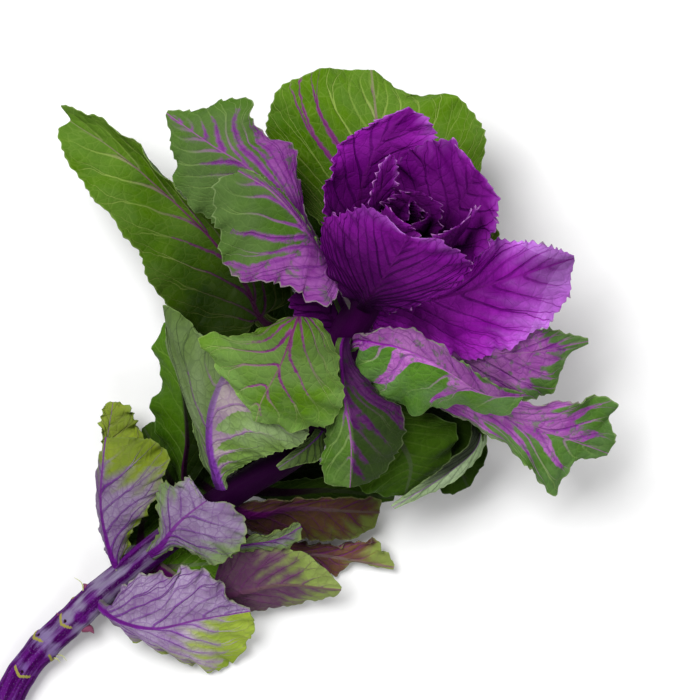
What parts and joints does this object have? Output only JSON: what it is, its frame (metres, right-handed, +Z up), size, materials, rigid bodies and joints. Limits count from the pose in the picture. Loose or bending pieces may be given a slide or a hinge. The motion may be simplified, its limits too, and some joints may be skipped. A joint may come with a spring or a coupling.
{
  "type": "cut kale bunch",
  "caption": "Cut stem of purple and green ornamental kale lying down: a tight purple rosette in loose ruffled leaves on one curved purple stem.",
  "frame": {"origin": "middle of the whole bunch's footprint box, on the surface it lies on", "axes": "+Z up from the surface; +X along the bunch from the cut end of the stem towards the head; +Y across it, to the left seen from above"},
  "size_m": [0.3011, 0.2348, 0.1184],
  "materials": {
    "stem": "satin",
    "purple_leaf": "satin",
    "pink_green_leaf": "satin",
    "green_leaf": "satin",
    "low_leaf": "satin"
  },
  "bodies": {
    "root": {"stem": "stem", "heart": "purple_leaf", "purple_back_left": "purple_leaf", "purple_back_right": "purple_leaf", "purple_front": "purple_leaf", "purple_right_large": "purple_leaf", "pink_right_upper": "pink_green_leaf", "pink_right_lower": "pink_green_leaf", "fold_right": "pink_green_leaf", "upper_left": "pink_green_leaf", "upper_left_front": "pink_green_leaf", "back_top": "green_leaf", "long_left": "green_leaf", "drape_left": "green_leaf", "drape_centre": "green_leaf", "below_centre": "green_leaf", "cup_right": "green_leaf", "cup_right_edge": "green_leaf", "cup_right_behind": "green_leaf", "standing_left": "green_leaf", "small_grey": "green_leaf", "dark_left": "green_leaf", "dark_left_behind": "green_leaf", "lower_left_tall": "low_leaf", "lower_left_tip": "low_leaf", "lower_shield": "low_leaf", "lower_front": "low_leaf", "lower_ruffled": "low_leaf", "lower_curl": "green_leaf", "brown_right": "low_leaf", "dark_below": "green_leaf", "curly_right": "low_leaf", "small_curl": "green_leaf", "under_back": "green_leaf", "under_right": "green_leaf", "under_left": "green_leaf", "under_front": "green_leaf", "lower_behind": "green_leaf", "lower_behind_left": "green_leaf", "under_low_left": "green_leaf", "under_low_right": "green_leaf", "purple_under": "purple_leaf"}
  },
  "joints": []
}
